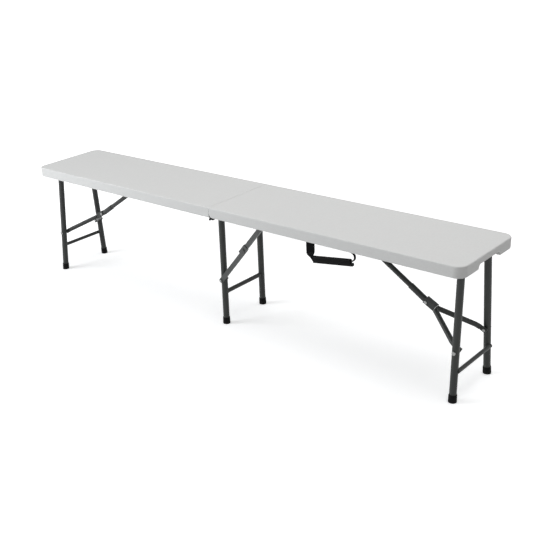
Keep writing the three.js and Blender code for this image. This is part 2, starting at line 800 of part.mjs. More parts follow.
function endLegs(half) {
  const place = (side) => (half === 'right' ? side : -side);
  const name = (side) => (place(side) > 0 ? 'back' : 'front');
  const parts = [
    piece(`pivot_tube_${half}`, pivotTube(endFrame), materials.steel),
    piece(
      `stretcher_${half}`,
      stretcher(endFrame, stretcherEnd, stretcherOffset, stretcherRadius),
      materials.steel,
    ),
  ];
  for (const side of [-1, 1]) {
    const where = `${half}_${name(side)}`;
    parts.push(piece(`leg_${where}`, leg(endFrame, side, armPinZ, armPinRadius), materials.steel));
    parts.push(piece(`foot_${where}`, foot(endFrame, side), materials.rubber));
    parts.push(piece(`arm_rivet_${where}`, armRivet(side), materials.rivet));
  }
  const upper = assembly(
    piece(`brace_stem_${half}`, stem(), materials.steel),
    piece(`lock_ring_${half}`, lockRing(), materials.steel),
    piece(`brace_rivet_${half}`, jointRivet(), materials.rivet),
  );
  upper.position.set(braceX, 0, braceZ);
  upper.rotation.y = stemAngle;
  const fork = assembly(
    piece(`brace_yoke_${half}`, yoke(), materials.steel),
    ...[-1, 1].map((side) => piece(`brace_arm_${half}_${name(side)}`, arm(side), materials.steel)),
  );
  fork.position.set(jointX, 0, jointZ);
  fork.rotation.y = forkAngle;
  const braceRod = crossRod(braceX, braceZ, [-pivotReach, pivotReach], braceRodRadius);
  return assembly(...parts, upper, fork, piece(`brace_rod_${half}`, braceRod, materials.steel));
}

function centreLegs() {
  const stay = assembly(
    piece('stay_upper', stayUpper(), materials.steel),
    piece('stay_lower', stayLower(), materials.steel),
    piece('stay_clasp', stayClasp(), materials.steel),
    piece('stay_rivet', stayJointRivet(), materials.rivet),
  );
  stay.position.set(stayX, 0, stayZ);
  stay.rotation.y = stayAngle;
  return assembly(
    piece('pivot_tube_centre', pivotTube(centreFrame), materials.steel),
    piece(
      'stretcher_centre',
      stretcher(centreFrame, stretcherCentre, 0, centreStretcherRadius),
      materials.steel,
    ),
    piece('leg_centre_front', leg(centreFrame, -1, stayPinZ, armPinRadius), materials.steel),
    piece('leg_centre_back', leg(centreFrame, 1, 0, 0), materials.steel),
    piece('foot_centre_front', foot(centreFrame, -1), materials.rubber),
    piece('foot_centre_back', foot(centreFrame, 1), materials.rubber),
    piece('stay_leg_rivet', stayLegRivet(), materials.rivet),
    piece('stay_post', stayPost(), materials.rivet),
    stay,
  );
}

// One half of the bench as it lies on +X; the left half is the same, turned round

function rightRails() {
  const ends = [seamGap / 2, halfLength - apronWall - railEndGap];
  const holes = [
    [centrePivotX, pivotZ, pivotRadius],
    [braceX, braceZ, braceRodRadius],
    [endPivotX, pivotZ, pivotRadius],
  ];
  const stayHoles = [...holes, [stayX, stayZ, jointPinRadius]];
  return [
    piece('rail_right_front', rail(-1, ends, stayHoles, -railNoseReach), materials.steel),
    piece('rail_right_back', rail(1, ends, holes, -railNoseReach), materials.steel),
  ];
}

function leftRails() {
  const ends = [railSeamStep, halfLength - apronWall - railEndGap];
  const holes = [
    [braceX, braceZ, braceRodRadius],
    [endPivotX, pivotZ, pivotRadius],
  ];
  return [
    piece('rail_left_front', rail(1, ends, holes), materials.steel),
    piece('rail_left_back', rail(-1, ends, holes), materials.steel),
  ];
}

function hinges() {
  const parts = [];
  for (const side of [-1, 1]) {
    const where = side > 0 ? 'back' : 'front';
    parts.push(piece(`hinge_leaf_right_${where}`, leafRight(side), materials.bracket));
    parts.push(piece(`hinge_leaf_left_${where}`, leafLeft(side), materials.bracket));
    parts.push(piece(`hinge_pin_${where}`, hingePin(side), materials.bracket));
  }
  return parts;
}

function handle() {
  const gripMesh = piece('handle_grip', grip(), materials.rubber);
  gripMesh.position.set(gripStartX, -strapPlane, gripStartZ);
  gripMesh.rotation.y = -gripTilt;
  const loopX = gripEndX - loopThickness / 2;
  const leftAnchor = strapAnchor(strapX, strapWidth, strapThickness, strapThickness / 2);
  const rightAnchor = strapAnchor(loopX, loopThickness, loopWidth, loopTab);
  return assembly(
    gripMesh,
    piece('handle_strap_left', strapLeft(), materials.webbing),
    piece('handle_strap_right', strapRight(), materials.webbing),
    piece('strap_anchor_left', leftAnchor, materials.webbing),
    piece('strap_anchor_right', rightAnchor, materials.webbing),
  );
}

const seatRight = seatHalf(seamRoundRight).subtract(capPocket(-1)).subtract(capPocket(1));

const rightHalf = assembly(
  piece('seat_right', seatRight, materials.plastic),
  ...rightRails(),
  endLegs('right'),
  centreLegs(),
  handle(),
);

const leftHalf = assembly(
  piece('seat_left', seatHalf(seamRoundLeft), materials.plastic),
  ...leftRails(),
  endLegs('left'),
);
leftHalf.rotation.z = Math.PI;

const bench = assembly(rightHalf, leftHalf, ...hinges());

export default bench;
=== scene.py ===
# %% [markdown]
# # A folding bench, dressed for the camera
# The bench comes from CAD as a fixed frame of named nodes. This notebook gives every node a finish,
# replaces the soft straps with woven ones, and softens the hard edges that a moulding or a pressing
# never has. Lengths are metres, and +Z is up.

import json
import math

import bmesh
import bpy
from mathutils import Matrix, Vector

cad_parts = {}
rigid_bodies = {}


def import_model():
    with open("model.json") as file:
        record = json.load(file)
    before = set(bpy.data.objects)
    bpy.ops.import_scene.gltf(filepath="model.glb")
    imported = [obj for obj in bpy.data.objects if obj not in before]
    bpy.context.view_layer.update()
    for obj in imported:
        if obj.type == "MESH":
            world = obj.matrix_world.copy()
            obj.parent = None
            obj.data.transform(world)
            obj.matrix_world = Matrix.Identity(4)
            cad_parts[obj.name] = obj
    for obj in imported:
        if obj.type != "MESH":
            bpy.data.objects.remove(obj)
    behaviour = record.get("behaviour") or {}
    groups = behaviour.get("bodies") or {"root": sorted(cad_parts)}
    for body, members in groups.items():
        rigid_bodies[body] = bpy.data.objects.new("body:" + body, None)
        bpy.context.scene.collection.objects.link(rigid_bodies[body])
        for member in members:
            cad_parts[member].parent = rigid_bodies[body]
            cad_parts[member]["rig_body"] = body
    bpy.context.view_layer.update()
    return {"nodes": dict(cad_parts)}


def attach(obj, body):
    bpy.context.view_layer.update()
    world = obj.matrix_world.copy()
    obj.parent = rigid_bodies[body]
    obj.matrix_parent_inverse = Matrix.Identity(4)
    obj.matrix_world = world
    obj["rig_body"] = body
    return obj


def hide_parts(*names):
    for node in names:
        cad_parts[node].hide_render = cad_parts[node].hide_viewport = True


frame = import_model()
nodes = frame["nodes"]

# %% [markdown]
# ## The camera
# The photograph was taken from above the right front corner, with a short tele lens and a slight
# roll. The place and the lens were worked out from the corners of the seat and the feet. The small
# shift stands for the way the picture was cropped.

# %% Camera
PICTURE = 550
camera_place = Vector((1.91619, -2.13995, 1.36556))
camera_turn = 2.336826
camera_dip = 0.441452
camera_roll = -0.064232
focal_pixels = 882.07
centre_pixel = (215.81, 311.92)

forward = Vector((
    math.cos(camera_dip) * math.cos(camera_turn),
    math.cos(camera_dip) * math.sin(camera_turn),
    -math.sin(camera_dip),
))
level_right = Vector((math.sin(camera_turn), -math.cos(camera_turn), 0))
level_up = level_right.cross(forward)
right = level_right * math.cos(camera_roll) + level_up * math.sin(camera_roll)
up = level_up * math.cos(camera_roll) - level_right * math.sin(camera_roll)

lens_data = bpy.data.cameras.new("camera")
camera = bpy.data.objects.new("camera", lens_data)
bpy.context.scene.collection.objects.link(camera)
camera.matrix_world = Matrix.Translation(camera_place) @ Matrix((right, up, -forward)).transposed().to_4x4()
lens_data.sensor_width = 36
lens_data.lens = focal_pixels / PICTURE * lens_data.sensor_width
lens_data.shift_x = (PICTURE / 2 - centre_pixel[0]) / PICTURE
lens_data.shift_y = (centre_pixel[1] - PICTURE / 2) / PICTURE
lens_data.clip_start = 0.05
lens_data.clip_end = 60
bpy.context.scene.camera = camera
bpy.context.scene.view_settings.view_transform = "Standard"
shift = [round(v, 3) for v in (lens_data.shift_x, lens_data.shift_y)]
print("lens:", round(lens_data.lens, 2), "mm, shift:", shift)

# %% [markdown]
# ## A few helpers for nodes
# Every finish below is a small tree of shader nodes. These helpers keep the trees short to read:
# one adds a node and sets its inputs, one joins two sockets, one starts a finish.

# %% Node helpers
def add(tree, kind, **inputs):
    node = tree.nodes.new(kind)
    for name, value in inputs.items():
        node.inputs[name.replace("_", " ")].default_value = value
    return node


def join(tree, source, target):
    tree.links.new(source, target)


def start_finish(name):
    finish = bpy.data.materials.new(name)
    finish.use_nodes = True
    tree = finish.node_tree
    shader = tree.nodes["Principled BSDF"]
    place = tree.nodes.new("ShaderNodeTexCoord")
    return finish, tree, shader, place.outputs["Object"]


def spots(tree, place, size, detail=2.0, roughness=0.5, stretch=(1, 1, 1)):
    """Soft random spots, each about size metres across."""
    mapping = add(tree, "ShaderNodeMapping")
    mapping.inputs["Scale"].default_value = [s / size for s in stretch]
    join(tree, place, mapping.inputs["Vector"])
    noise = add(tree, "ShaderNodeTexNoise", Scale=1.0, Detail=detail, Roughness=roughness)
    join(tree, mapping.outputs["Vector"], noise.inputs["Vector"])
    return noise.outputs["Fac"]


def spread(tree, value, low, high, to_low, to_high):
    """Stretches a value from one range to another."""
    node = tree.nodes.new("ShaderNodeMapRange")
    join(tree, value, node.inputs["Value"])
    for name, number in zip(("From Min", "From Max", "To Min", "To Max"), (low, high, to_low, to_high)):
        node.inputs[name].default_value = number
    return node.outputs["Result"]


def blend_colour(tree, amount, first, second, kind="MIX"):
    node = tree.nodes.new("ShaderNodeMix")
    node.data_type = "RGBA"
    node.blend_type = kind
    for socket, value in ((node.inputs[6], first), (node.inputs[7], second), (node.inputs[0], amount)):
        if isinstance(value, bpy.types.NodeSocket):
            join(tree, value, socket)
        else:
            socket.default_value = value if isinstance(value, (int, float)) else (*value[:3], 1)
    return node.outputs[2]


def sums(tree, kind, first, second):
    node = tree.nodes.new("ShaderNodeMath")
    node.operation = kind
    for socket, value in zip(node.inputs, (first, second)):
        if isinstance(value, bpy.types.NodeSocket):
            join(tree, value, socket)
        else:
            socket.default_value = value
    return node.outputs[0]


def relief(tree, shader, heights):
    """Stacks bumps: (height socket, depth in metres, strength)."""
    normal = None
    for height, depth, strength in heights:
        bump = add(tree, "ShaderNodeBump", Strength=strength, Distance=depth)
        join(tree, height, bump.inputs["Height"])
        if normal is not None:
            join(tree, normal, bump.inputs["Normal"])
        normal = bump.outputs["Normal"]
    join(tree, normal, shader.inputs["Normal"])


# One edge mask for two uses: real chipping of the powder coat, and a painted highlight along the seat's
# edges.
def edge_wear_and_highlight(tree, radius, low=0.02, high=0.25):
    """1 on sharp edges and 0 on flats: the angle between the true and the rounded surface."""
    rounded = add(tree, "ShaderNodeBevel", Radius=radius)
    rounded.samples = 4
    true = tree.nodes.new("ShaderNodeNewGeometry")
    dot = tree.nodes.new("ShaderNodeVectorMath")
    dot.operation = "DOT_PRODUCT"
    join(tree, rounded.outputs["Normal"], dot.inputs[0])
    join(tree, true.outputs["Normal"], dot.inputs[1])
    return spread(tree, sums(tree, "SUBTRACT", 1.0, dot.outputs["Value"]), low, high, 0.0, 1.0)

# %% [markdown]
# ## Moulded plastic for the seat
# The seat halves are blow moulded polyethylene: a warm pale grey that is half matt, with a fine
# pebble grain from the mould and faint cloudy patches where the wall cooled at different speeds.
# Two noise textures make it: a large soft one for the clouds and a small one, used as a bump, for
# the grain. A picture of grain would stretch over the rims, while noise in object space does not.

# %% Finish: moulded seat plastic
seat_plastic, tree, shader, place = start_finish("seat_plastic")
clouds = spots(tree, place, 0.14, detail=3)
flecks = spots(tree, place, 0.006, detail=2)
grain = spots(tree, place, 0.0021, detail=3, roughness=0.6)
pebble = tree.nodes.new("ShaderNodeTexVoronoi")
pebble.feature = "SMOOTH_F1"
pebble.inputs["Scale"].default_value = 560
join(tree, place, pebble.inputs["Vector"])
base = blend_colour(tree, clouds, (0.694, 0.694, 0.684), (0.730, 0.728, 0.714))
base = blend_colour(tree, spread(tree, flecks, 0.35, 0.75, 0, 0.22), base, (0.63, 0.632, 0.627))
# Painted highlight: the colour turns lighter along the sharp edges, broken up by the flecks, for the light
# line where the top rounds into the rim.
painted_edge_highlight = edge_wear_and_highlight(tree, 0.005)
base = blend_colour(tree, sums(tree, "MULTIPLY", painted_edge_highlight, spread(tree, flecks, 0.3, 0.7, 0.4, 0.8)),
                    base, (0.80, 0.80, 0.79))
join(tree, base, shader.inputs["Base Color"])
join(tree, spread(tree, sums(tree, "ADD", clouds, flecks), 0.6, 1.4, 0.46, 0.60), shader.inputs["Roughness"])
shader.inputs["IOR"].default_value = 1.48
shader.inputs["Specular IOR Level"].default_value = 0.42
relief(tree, shader, [(grain, 0.00012, 0.5), (pebble.outputs["Distance"], 0.00010, 0.35),
                      (clouds, 0.0006, 0.25)])
print("finish:", seat_plastic.name, len(tree.nodes), "nodes")

# %% [markdown]
# ## Powder coat for the legs
# Powder is baked on in one coat. It is a dark green grey, it has a faint orange peel, and it wears
# through to bare metal first on edges and where feet and hands rub.

# %% Finish: powder coats
def powder_coat(name, dark, light, shine, gloss):
    finish, tree, shader, place = start_finish(name)
    peel = spots(tree, place, 0.0032, detail=2)
    dust = spots(tree, place, 0.045, detail=4, roughness=0.6)
    chips = spots(tree, place, 0.0045, detail=5, roughness=0.7)
    base = blend_colour(tree, dust, dark, light)
    edge = sums(tree, "MULTIPLY", edge_wear_and_highlight(tree, 0.0012), spread(tree, chips, 0.54, 0.66, 0, 0.8))
    base = blend_colour(tree, edge, base, (0.26, 0.26, 0.25))
    join(tree, base, shader.inputs["Base Color"])
    join(tree, spread(tree, dust, 0.3, 0.7, shine - 0.05, shine + 0.09), shader.inputs["Roughness"])
    shader.inputs["Specular IOR Level"].default_value = gloss
    relief(tree, shader, [(peel, 0.00022, 0.45), (chips, 0.00006, 0.2)])
    return finish


leg_coat = powder_coat("leg_coat", (0.029, 0.0315, 0.030), (0.047, 0.050, 0.048), 0.42, 0.28)
bar_coat = powder_coat("bar_coat", (0.050, 0.053, 0.052), (0.082, 0.087, 0.084), 0.40, 0.40)
black_coat = powder_coat("black_coat", (0.007, 0.0075, 0.0075), (0.014, 0.015, 0.015), 0.45, 0.15)
print("finishes:", leg_coat.name, bar_coat.name, black_coat.name)

# %% [markdown]
# ## Zinc plate for the rivets and pins
# Zinc is a soft grey metal. Passing through the barrel leaves it with fine dull patches, so its
# roughness changes more than its colour.

# %% Finish: zinc
zinc, tree, shader, place = start_finish("zinc")
patches = spots(tree, place, 0.0025, detail=4)
lines = spots(tree, place, 0.0012, detail=2, stretch=(1, 1, 6))
base = blend_colour(tree, patches, (0.22, 0.225, 0.225), (0.34, 0.34, 0.335))
join(tree, base, shader.inputs["Base Color"])
join(tree, spread(tree, patches, 0.3, 0.7, 0.26, 0.48), shader.inputs["Roughness"])
shader.inputs["Metallic"].default_value = 1.0
relief(tree, shader, [(lines, 0.00005, 0.4)])
print("finish:", zinc.name)

# %% [markdown]
# ## Rubber feet and the plastic grip
# Both are black. The rubber is matt and a little dusty near the floor, the grip is a harder plastic
# with a fine leather-like grain, so they differ in roughness and in the size of the grain.

# %% Finish: foot rubber
foot_rubber, tree, shader, place = start_finish("rubber_feet")
dust = spots(tree, place, 0.008, detail=4)
grain = spots(tree, place, 0.0009, detail=2)
height = tree.nodes.new("ShaderNodeSeparateXYZ")
join(tree, place, height.inputs["Vector"])
near_floor = spread(tree, height.outputs["Z"], 0.0, 0.012, 1.0, 0.0)
scuff = sums(tree, "MULTIPLY", near_floor, spread(tree, dust, 0.4, 0.7, 0.0, 0.8))
base = blend_colour(tree, dust, (0.0030, 0.0032, 0.0034), (0.0065, 0.0067, 0.0070))
join(tree, blend_colour(tree, scuff, base, (0.026, 0.025, 0.024)), shader.inputs["Base Color"])
join(tree, spread(tree, dust, 0.3, 0.7, 0.58, 0.78), shader.inputs["Roughness"])
shader.inputs["Specular IOR Level"].default_value = 0.10
relief(tree, shader, [(grain, 0.00008, 0.5)])

# %% Finish: grip plastic
grip_plastic, tree, shader, place = start_finish("grip_shell")
cells = tree.nodes.new("ShaderNodeTexVoronoi")
cells.feature = "DISTANCE_TO_EDGE"
cells.inputs["Scale"].default_value = 620
join(tree, place, cells.inputs["Vector"])
smudge = spots(tree, place, 0.02, detail=3)
base = blend_colour(tree, smudge, (0.0040, 0.0042, 0.0045), (0.0080, 0.0083, 0.0086))
join(tree, base, shader.inputs["Base Color"])
join(tree, spread(tree, smudge, 0.3, 0.7, 0.40, 0.56), shader.inputs["Roughness"])
shader.inputs["Specular IOR Level"].default_value = 0.06
relief(tree, shader, [(cells.outputs["Distance"], 0.0003, 0.35)])
print("finishes:", foot_rubber.name, grip_plastic.name)

# %% [markdown]
# ## Woven webbing for the handle straps
# Nylon webbing is a plain weave of flat yarns. Its pattern follows the strap round its bends, so it
# runs on the strap's own UV map, whose u and v are metres along and across. A brick pattern, half
# of each yarn shifted, gives the over-and-under look, and a wave pattern gives the fine threads.

# %% Finish: webbing
webbing, tree, shader, _ = start_finish("strap_weave")
map_node = tree.nodes.new("ShaderNodeUVMap")
map_node.uv_map = "length_and_width"
yarn = tree.nodes.new("ShaderNodeTexBrick")
yarn.offset = 0.5
yarn.inputs["Scale"].default_value = 1.0
yarn.inputs["Brick Width"].default_value = 0.0024
yarn.inputs["Row Height"].default_value = 0.0013
yarn.inputs["Mortar Size"].default_value = 0.00022
yarn.inputs["Mortar Smooth"].default_value = 1.0
yarn.inputs["Color1"].default_value = (0.0050, 0.0050, 0.0055, 1)
yarn.inputs["Color2"].default_value = (0.0090, 0.0090, 0.0098, 1)
yarn.inputs["Mortar"].default_value = (0.0020, 0.0020, 0.0022, 1)
join(tree, map_node.outputs["UV"], yarn.inputs["Vector"])
threads = tree.nodes.new("ShaderNodeTexWave")
threads.bands_direction = "X"
threads.inputs["Scale"].default_value = 900
join(tree, map_node.outputs["UV"], threads.inputs["Vector"])
join(tree, yarn.outputs["Color"], shader.inputs["Base Color"])
join(tree, spread(tree, yarn.outputs["Fac"], 0, 1, 0.72, 0.92), shader.inputs["Roughness"])
shader.inputs["Sheen Weight"].default_value = 0.02
shader.inputs["Specular IOR Level"].default_value = 0.04
shader.inputs["Sheen Roughness"].default_value = 0.4
relief(tree, shader, [(sums(tree, "SUBTRACT", 1.0, yarn.outputs["Fac"]), 0.0004, 0.8),
                      (threads.outputs["Fac"], 0.00008, 0.4)])
print("finish:", webbing.name)

# %% [markdown]
# ## Bare edge and thread
# Two small finishes: the cut edge of sheet steel, dull and streaky, whose light colour on the yokes' nose
# bands also stands in for a highlight (painted highlight), and the black thread of the
# stitches, which is rounder and glossier than the strap that it holds.

# %% Finishes: bare edge and thread
bare_edge_highlight, tree, shader, place = start_finish("bare_edge_highlight")
streaks = spots(tree, place, 0.0012, detail=3, stretch=(1, 4, 1))
join(tree, blend_colour(tree, streaks, (0.36, 0.37, 0.37), (0.58, 0.58, 0.57)), shader.inputs["Base Color"])
join(tree, spread(tree, streaks, 0.3, 0.7, 0.34, 0.56), shader.inputs["Roughness"])
shader.inputs["Metallic"].default_value = 0.85
relief(tree, shader, [(streaks, 0.00006, 0.5)])

thread, tree, shader, place = start_finish("thread")
twist = spots(tree, place, 0.0006, detail=2)
base = blend_colour(tree, twist, (0.012, 0.012, 0.013), (0.026, 0.026, 0.028))
join(tree, base, shader.inputs["Base Color"])
join(tree, spread(tree, twist, 0.3, 0.7, 0.45, 0.62), shader.inputs["Roughness"])
relief(tree, shader, [(twist, 0.0001, 0.6)])
print("finishes:", bare_edge_highlight.name, thread.name)

# %% [markdown]
# ## Which finish goes where
# Each node's name says which piece it is, so a short table of name beginnings is enough. A node
# keeps its CAD shape and only its material slot changes.

# %% Dress the nodes
finish_of = {
    "seat": seat_plastic, "rail": leg_coat, "hinge_leaf": black_coat, "hinge_pin": black_coat,
    "pivot_tube": leg_coat, "stretcher": leg_coat, "leg": leg_coat, "foot": foot_rubber,
    "arm_rivet": zinc, "brace_rivet": zinc, "brace_rod": leg_coat, "brace_stem": leg_coat,
    "lock_ring": leg_coat, "brace_yoke": leg_coat, "brace_arm": leg_coat,
    "stay_upper": bar_coat, "stay_lower": bar_coat, "stay_clasp": bar_coat, "stay_rivet": bar_coat,
    "stay_leg_rivet": zinc, "stay_post": zinc, "handle_grip": grip_plastic, "handle_strap": webbing,
    "strap_anchor": webbing,
}


def finish_for(name):
    return finish_of[max((key for key in finish_of if name.startswith(key)), key=len)]


for name, node in nodes.items():
    if not node.data.materials:
        node.data.materials.append(None)
    for place_in_list in node.material_slots:
        place_in_list.material = finish_for(name)
print("dressed:", len(nodes), "nodes")

# %% [markdown]
# ## Soft edges
# A moulding or a pressing has no razor edge, and it is the thin bright line along an edge that
# tells the eye how big a thing is. The CAD mesh is loose triangles, so a copy is welded together,
# its flat faces are joined again, and a small bevel is put on the sharp edges only. The copy then
# stands for the node and rides on the same body.

# %% Soften chosen nodes
SEAM_CORNER = 0.0030
RIM_REACH, SEAM_REACH, CORNER_HEIGHT = 0.14, 0.002, 0.01


def round_seam_corners(mesh):
    """Rounds the two upright edges at the end of the right half's rim, beside the seam."""
    corners = [e for e in mesh.edges
               if all(abs(v.co.y) > RIM_REACH and abs(v.co.x) < SEAM_REACH for v in e.verts)
               and abs(e.verts[0].co.z - e.verts[1].co.z) > CORNER_HEIGHT]
    bmesh.ops.bevel(mesh, geom=corners, offset=SEAM_CORNER, offset_type="OFFSET", segments=3, profile=0.5,
                    affect="EDGES", clamp_overlap=True, material=-1)
    return len(corners)


def soften(name, width, segments=2, sharp=28):
    """A welded copy of a node with its sharp edges rounded by width metres."""
    node = nodes[name]
    mesh = bmesh.new()
    mesh.from_mesh(node.data)
    bmesh.ops.remove_doubles(mesh, verts=mesh.verts, dist=0.00002)
    bmesh.ops.dissolve_limit(mesh, angle_limit=math.radians(1.5), verts=mesh.verts, edges=mesh.edges)
    if name == "seat_right":
        print("seam corners rounded:", round_seam_corners(mesh))
    data = bpy.data.meshes.new(name + "_soft")
    mesh.to_mesh(data)
    mesh.free()
    piece = bpy.data.objects.new(name + "_soft", data)
    bpy.context.scene.collection.objects.link(piece)
    data.materials.clear()
    data.materials.append(finish_for(name))
    for face in data.polygons:
        face.use_smooth = True
    rounding = piece.modifiers.new("rounding", "BEVEL")
    rounding.width = width
    rounding.segments = segments
    rounding.limit_method = "ANGLE"
    rounding.angle_limit = math.radians(sharp)
    rounding.use_clamp_overlap = True
    evening = piece.modifiers.new("evening", "WEIGHTED_NORMAL")
    evening.weight = 100
    evening.keep_sharp = False
    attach(piece, node["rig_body"])
    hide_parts(name)
    return piece


width_of = {
    "seat": 0.0009, "handle_grip": 0.0012, "stay": 0.0004, "brace_yoke": 0.0005, "lock_ring": 0.0003,
    "foot": 0.0008, "hinge_leaf": 0.0004, "rail": 0.0004, "hinge_pin": 0.0004, "leg": 0.0003,
    "stretcher": 0.0003, "pivot_tube": 0.0003, "brace_stem": 0.0004, "brace_arm": 0.0004,
    "brace_rod": 0.0004, "brace_rivet": 0.0004, "arm_rivet": 0.0004,
}
softened = {}
for name in nodes:
    keys = [key for key in width_of if name.startswith(key)]
    if keys:
        softened[name] = soften(name, width_of[max(keys, key=len)])
print("softened:", len(softened), "nodes")

# %% [markdown]
# ## Building new pieces
# A handful of shapes come back often: a small round head, a bead of weld, a flat band, a strip of
# strap. Each starts from a bmesh operator or from a short edge, is shaped by spin, extrude and
# bevel, and ends as an object that sits at the origin with its place in its mesh. The last helper
# does that, joins doubles and lets the piece ride on its body.

# %% Piece helpers
def finish_piece(mesh, name, body, finish, replaced=(), flip=True):
    bmesh.ops.remove_doubles(mesh, verts=mesh.verts, dist=0.000004)
    if flip:
        bmesh.ops.recalc_face_normals(mesh, faces=mesh.faces)
    data = bpy.data.meshes.new(name)
    mesh.to_mesh(data)
    mesh.free()
    for face in data.polygons:
        face.use_smooth = True
    piece = bpy.data.objects.new(name, data)
    bpy.context.scene.collection.objects.link(piece)
    data.materials.append(finish)
    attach(piece, body)
    if replaced:
        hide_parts(*replaced)
    return piece


def smooth_corners(piece, width, segments=2, sharp=30):
    rounding = piece.modifiers.new("rounding", "BEVEL")
    rounding.width = width
    rounding.segments = segments
    rounding.limit_method = "ANGLE"
    rounding.angle_limit = math.radians(sharp)
    evening = piece.modifiers.new("evening", "WEIGHTED_NORMAL")
    evening.weight = 100
    return piece


def spun_head(mesh, centre, outward, profile, steps=24):
    """A round head: profile is a list of (radius, height along outward), from the middle out."""
    outward = Vector(outward).normalized()
    side = outward.orthogonal().normalized()
    points = [mesh.verts.new(Vector(centre) + side * r + outward * h) for r, h in profile]
    edges = [mesh.edges.new(pair) for pair in zip(points, points[1:])]
    bmesh.ops.spin(mesh, geom=points + edges, cent=Vector(centre), axis=outward, dvec=(0, 0, 0),
                   angle=2 * math.pi, steps=steps, use_merge=True)


def swept_tube(mesh, path, radii, sides=8, closed=False):
    """A round bead along a path. The first ring is a circle, and each next one is extruded."""
    count = len(path)
    ring = None
    first = None
    for i, (point, radius) in enumerate(zip(path, radii)):
        before = path[i - 1] if i or closed else path[0]
        after = path[(i + 1) % count] if i + 1 < count or closed else path[-1]
        ahead = (after - before).normalized()
        turn = ahead.to_track_quat("Z", "Y").to_matrix().to_4x4()
        place = Matrix.Translation(point) @ turn
        if ring is None:
            made = bmesh.ops.create_circle(mesh, cap_ends=False, segments=sides, radius=radius, matrix=place)
            ring = made["verts"]
            first = list(ring)
            offsets = [place.inverted() @ v.co / radius for v in ring]
            edges = {e for v in ring for e in v.link_edges}
        else:
            made = bmesh.ops.extrude_edge_only(mesh, edges=list(edges))
            fresh = [g for g in made["geom"] if isinstance(g, bmesh.types.BMVert)]
            edges = {g for g in made["geom"] if isinstance(g, bmesh.types.BMEdge)
                     and all(v in fresh for v in g.verts)}
            fresh.sort(key=lambda v: min(range(len(ring)), key=lambda k: (v.co - ring[k].co).length))
            for v, offset in zip(fresh, offsets):
                v.co = place @ (offset * radius)
            ring = fresh
    if not closed:
        for end in (first, ring):
            bmesh.ops.contextual_create(mesh, geom=end)
    else:
        bmesh.ops.bridge_loops(mesh, edges=[e for e in mesh.edges if e.is_boundary
                                            and (all(v in first for v in e.verts)
                                                 or all(v in ring for v in e.verts))])


DOME = [(0, 0.0018), (0.0018, 0.0017), (0.0034, 0.0012), (0.0043, 0.0005), (0.0046, 0), (0.0046, -0.0012)]
print("dome head of", len(DOME), "profile points")

# %% [markdown]
# ## Weld beads
# Every stretcher is welded to its two legs, and every leg to the tube that it turns with. A bead
# of weld is a small rounded ridge that follows the line where two tubes meet. For two crossing
# tubes that line is known: at each angle round the thin tube, the distance to the thick one gives
# the height. A thin bead is swept along it, and its thickness changes a little, as a welder's
# hand makes it do.

# %% Weld beads
END_PIVOT, CENTRE_PIVOT, PIVOT_HEIGHT = 0.872, 0.004, 0.415
LEG, TUBE = 0.011, 0.008
END_STRETCHER, CENTRE_STRETCHER = 0.0065, 0.0075
END_LEAN = math.radians(1.8)


def half_at(frame_name, height):
    top, foot = (0.0763, 0.106) if frame_name == "end" else (0.0964, 0.0995)
    return foot + (top - foot) * height / PIVOT_HEIGHT


def bead(mesh, line, size=0.0013):
    radii = [size * (0.86 + 0.14 * math.sin(2.1 * i) + 0.08 * math.sin(5.3 * i)) for i in range(len(line))]
    radii[0] *= 0.5
    radii[-1] *= 0.5
    swept_tube(mesh, line, radii, sides=8)


def stretcher_beads(mesh, sign, radius, offset, leg_x, height, half):
    """The line where a stretcher meets each leg, seen along the stretcher."""
    for side in (-1, 1):
        line = []
        for i in range(61):
            t = 2 * math.pi * i / 60 + math.pi / 2
            across = offset + radius * 1.02 * math.cos(t)
            if abs(across) < LEG * 0.985:
                reach = half - math.sqrt(LEG ** 2 - across ** 2)
                line.append(Vector((sign * (leg_x + across), side * (reach - 0.0004),
                                    height + radius * 1.02 * math.sin(t))))
        bead(mesh, line)


def leg_top_beads(mesh, x, half):
    """Two short beads where the top of a leg meets the tube above it."""
    for leg_side in (-1, 1):
        for side in (-1, 1):
            line = []
            for i in range(15):
                t = math.radians(46 + 88 * i / 14)
                along = LEG * 1.02 * math.cos(t)
                line.append(Vector((x + along, leg_side * half + side * LEG * 1.02 * math.sin(t),
                                    PIVOT_HEIGHT - math.sqrt(max(TUBE ** 2 - along ** 2, 0)) - 0.0004)))
            bead(mesh, line, 0.0012)


for half_name, sign in (("right", 1), ("left", -1)):
    mesh = bmesh.new()
    leg_x = END_PIVOT + (PIVOT_HEIGHT - 0.098) * math.tan(END_LEAN)
    stretcher_beads(mesh, sign, END_STRETCHER, 0.0100, leg_x, 0.098, half_at("end", 0.098))
    leg_top_beads(mesh, sign * END_PIVOT, half_at("end", 0.405))
    welds = finish_piece(mesh, "weld_beads_" + half_name, "legs_" + half_name, leg_coat)
    print(welds.name, len(welds.data.polygons), "faces")
mesh = bmesh.new()
stretcher_beads(mesh, 1, CENTRE_STRETCHER, 0, CENTRE_PIVOT, 0.118, half_at("centre", 0.118))
leg_top_beads(mesh, CENTRE_PIVOT, half_at("centre", 0.405))
welds = finish_piece(mesh, "weld_beads_centre", "legs_centre", leg_coat)
print(welds.name, len(welds.data.polygons), "faces")

# %% [markdown]
# ## Rivet heads on the braces
# A tubular rivet has a head on each side. CAD has the shanks and the outer heads; the inner heads
# on the flattened ends of the arms, and the one at the foot of the side stay, are zinc domes.
# Each dome is one profile spun round its axis.

# %% Inner rivet heads
for half_name, sign in (("right", 1), ("left", -1)):
    mesh = bmesh.new()
    for side in (-1, 1):
        spun_head(mesh, (sign * 0.8801, side * 0.0708, 0.15613), (0, -side, 0), DOME)
    heads = finish_piece(mesh, "arm_inner_heads_" + half_name, "fork_" + half_name, zinc)
    print(heads.name, len(heads.data.polygons), "faces")
mesh = bmesh.new()
spun_head(mesh, (0.004, -0.1194, 0.167), (0, -1, 0), DOME)
finish_piece(mesh, "stay_foot_head", "stay_lower", zinc)
